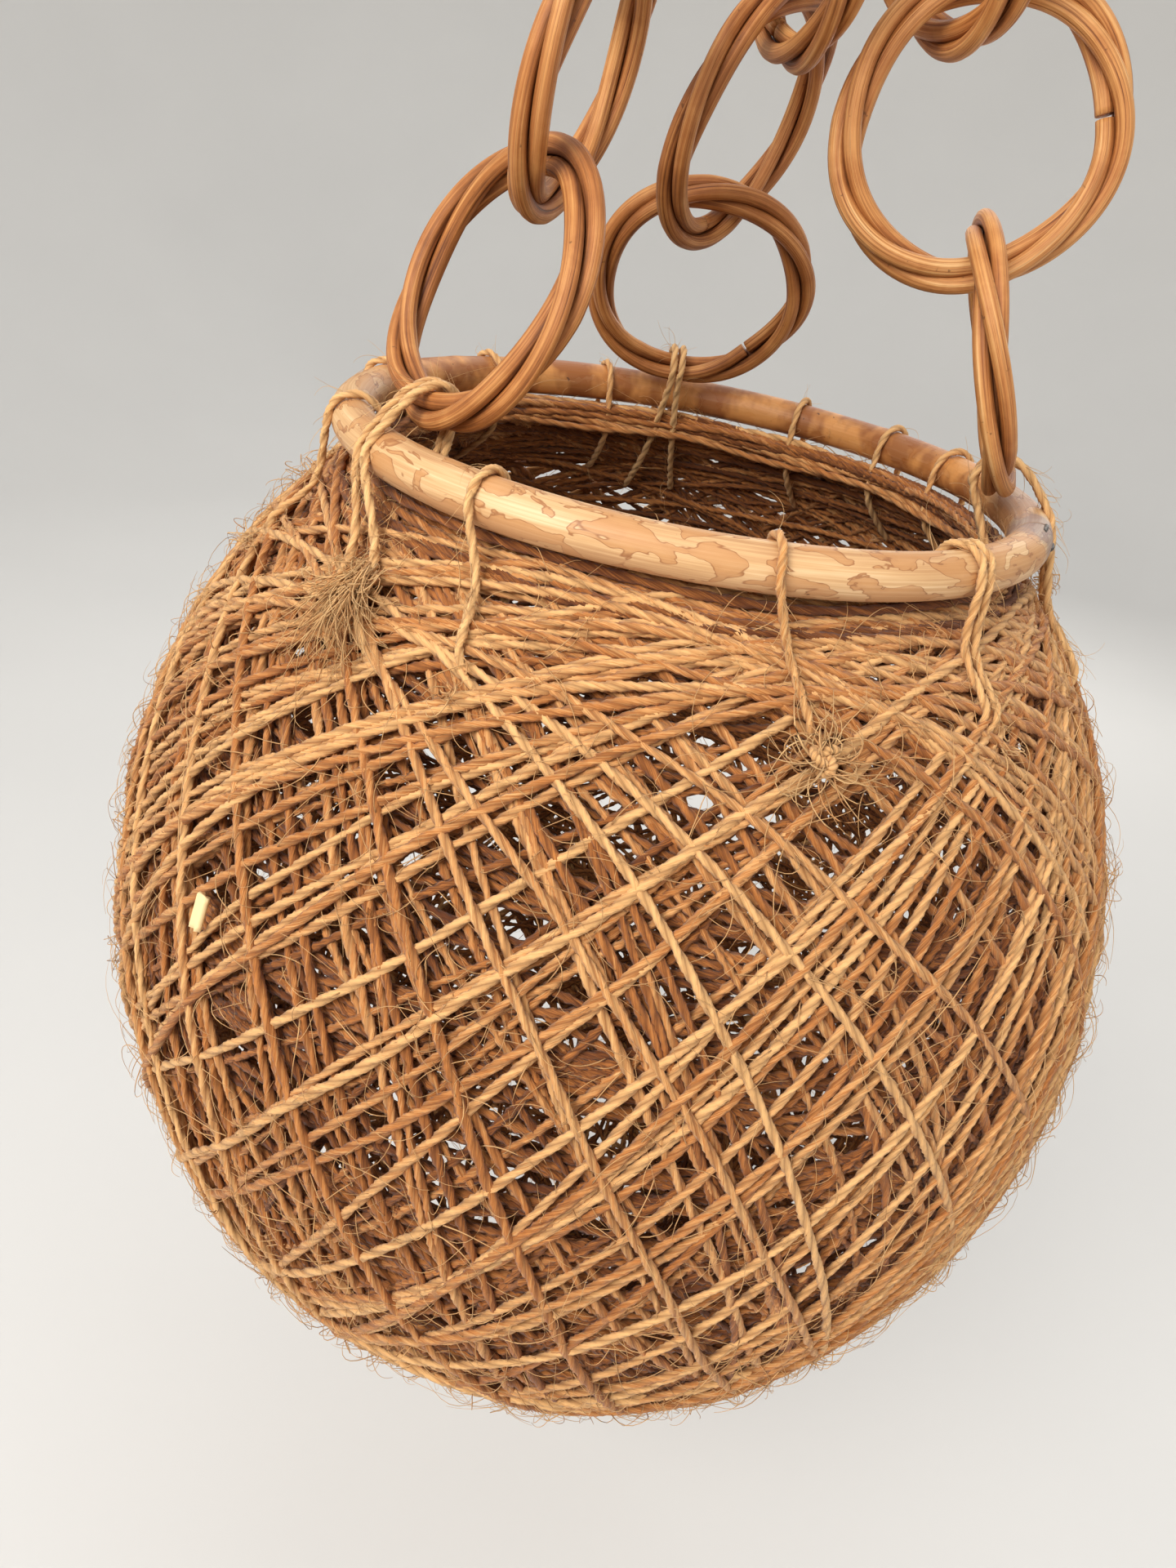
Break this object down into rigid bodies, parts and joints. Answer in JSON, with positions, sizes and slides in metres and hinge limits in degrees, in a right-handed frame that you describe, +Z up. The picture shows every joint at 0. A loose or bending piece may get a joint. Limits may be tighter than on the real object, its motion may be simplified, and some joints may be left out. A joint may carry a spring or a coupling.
{
  "type": "hanging planter basket",
  "caption": "Hanging planter: an open ball of wound twine sewn to a cane rim and hung on chains of twisted rattan rings.",
  "frame": {"origin": "hook seat: the inner top of the hook ring, where it rests on a hook", "axes": "+Z up along the line of hang; the rim lies level; +Y away from the pictured side"},
  "size_m": [0.3188, 0.3188, 0.6462],
  "materials": {
    "ball_twine": "two-ply coir twine, matt and hairy",
    "lashing_twine": "two-ply coir twine, matt and hairy",
    "rim_cane": "peeled round cane, satin, with pale stains",
    "ring_rattan": "thin rattan vine, satin",
    "staple_wire": "darkened wire"
  },
  "bodies": {
    "hook_ring": {"hook_ring": "ring_rattan"},
    "gathering_ring": {"gathering_ring": "ring_rattan"},
    "basket": {"twine_ball": "ball_twine", "rim_cane": "rim_cane", "rim_staple_upper": "staple_wire", "rim_staple_lower": "staple_wire", "rim_lashing_1": "lashing_twine", "rim_lashing_2": "lashing_twine", "rim_lashing_3": "lashing_twine", "rim_lashing_4": "lashing_twine", "rim_lashing_5": "lashing_twine", "rim_lashing_6": "lashing_twine", "rim_lashing_7": "lashing_twine", "rim_lashing_8": "lashing_twine", "rim_lashing_9": "lashing_twine", "rim_lashing_10": "lashing_twine", "chain_tie_front_left": "lashing_twine", "chain_tie_rear": "lashing_twine", "chain_tie_right": "lashing_twine"},
    "chain_ring_front_left_1": {"chain_ring_front_left_1": "ring_rattan"},
    "chain_ring_front_left_2": {"chain_ring_front_left_2": "ring_rattan"},
    "chain_ring_front_left_3": {"chain_ring_front_left_3": "ring_rattan"},
    "chain_ring_rear_1": {"chain_ring_rear_1": "ring_rattan"},
    "chain_ring_rear_2": {"chain_ring_rear_2": "ring_rattan"},
    "chain_ring_rear_3": {"chain_ring_rear_3": "ring_rattan"},
    "chain_ring_right_1": {"chain_ring_right_1": "ring_rattan"},
    "chain_ring_right_2": {"chain_ring_right_2": "ring_rattan"},
    "chain_ring_right_3": {"chain_ring_right_3": "ring_rattan"}
  },
  "joints": [
    {"name": "gathering_ring_swing", "type": "hinge", "parent": "hook_ring", "child": "gathering_ring", "pos_m": [0, 0, -0.05985], "axis": [-0.309, 0.9511, 0], "range_deg": [-30, 30]},
    {"name": "basket_swing", "type": "hinge", "parent": "gathering_ring", "child": "basket", "pos_m": [0, 0, -0.15695], "axis": [0.9511, 0.309, 0], "range_deg": [-22, 22]},
    {"name": "chain_ring_front_left_1_turn", "type": "hinge", "parent": "basket", "child": "chain_ring_front_left_1", "pos_m": [-0.05422, -0.0464, -0.27036], "axis": [0.2618, 0.3132, 0.9129], "range_deg": [-1, 20]},
    {"name": "chain_ring_front_left_2_turn", "type": "hinge", "parent": "basket", "child": "chain_ring_front_left_2", "pos_m": [-0.04042, -0.02987, -0.2222], "axis": [0.2618, 0.3132, 0.9129], "range_deg": [-16, 1]},
    {"name": "chain_ring_front_left_3_turn", "type": "hinge", "parent": "basket", "child": "chain_ring_front_left_3", "pos_m": [-0.02661, -0.01335, -0.17405], "axis": [0.2618, 0.3132, 0.9129], "range_deg": [-2, 1]},
    {"name": "chain_ring_rear_1_turn", "type": "hinge", "parent": "basket", "child": "chain_ring_rear_1", "pos_m": [-0.00866, 0.06694, -0.2714], "axis": [0.0943, -0.5055, 0.8576], "range_deg": [-20, 5]},
    {"name": "chain_ring_rear_2_turn", "type": "hinge", "parent": "basket", "child": "chain_ring_rear_2", "pos_m": [-0.00353, 0.03947, -0.2248], "axis": [0.0943, -0.5055, 0.8576], "range_deg": [-2, 5]},
    {"name": "chain_ring_rear_3_turn", "type": "hinge", "parent": "basket", "child": "chain_ring_rear_3", "pos_m": [0.00159, 0.012, -0.17819], "axis": [0.0943, -0.5055, 0.8576], "range_deg": [-2, 8]},
    {"name": "chain_ring_right_1_turn", "type": "hinge", "parent": "basket", "child": "chain_ring_right_1", "pos_m": [0.07224, -0.00418, -0.26985], "axis": [-0.3639, 0.1001, 0.926], "range_deg": [-15, 15]},
    {"name": "chain_ring_right_2_turn", "type": "hinge", "parent": "basket", "child": "chain_ring_right_2", "pos_m": [0.05297, 0.00112, -0.22081], "axis": [-0.3639, 0.1001, 0.926], "range_deg": [-15, 15]},
    {"name": "chain_ring_right_3_turn", "type": "hinge", "parent": "basket", "child": "chain_ring_right_3", "pos_m": [0.0337, 0.00642, -0.17177], "axis": [-0.3639, 0.1001, 0.926], "range_deg": [-5, 5]}
  ]
}
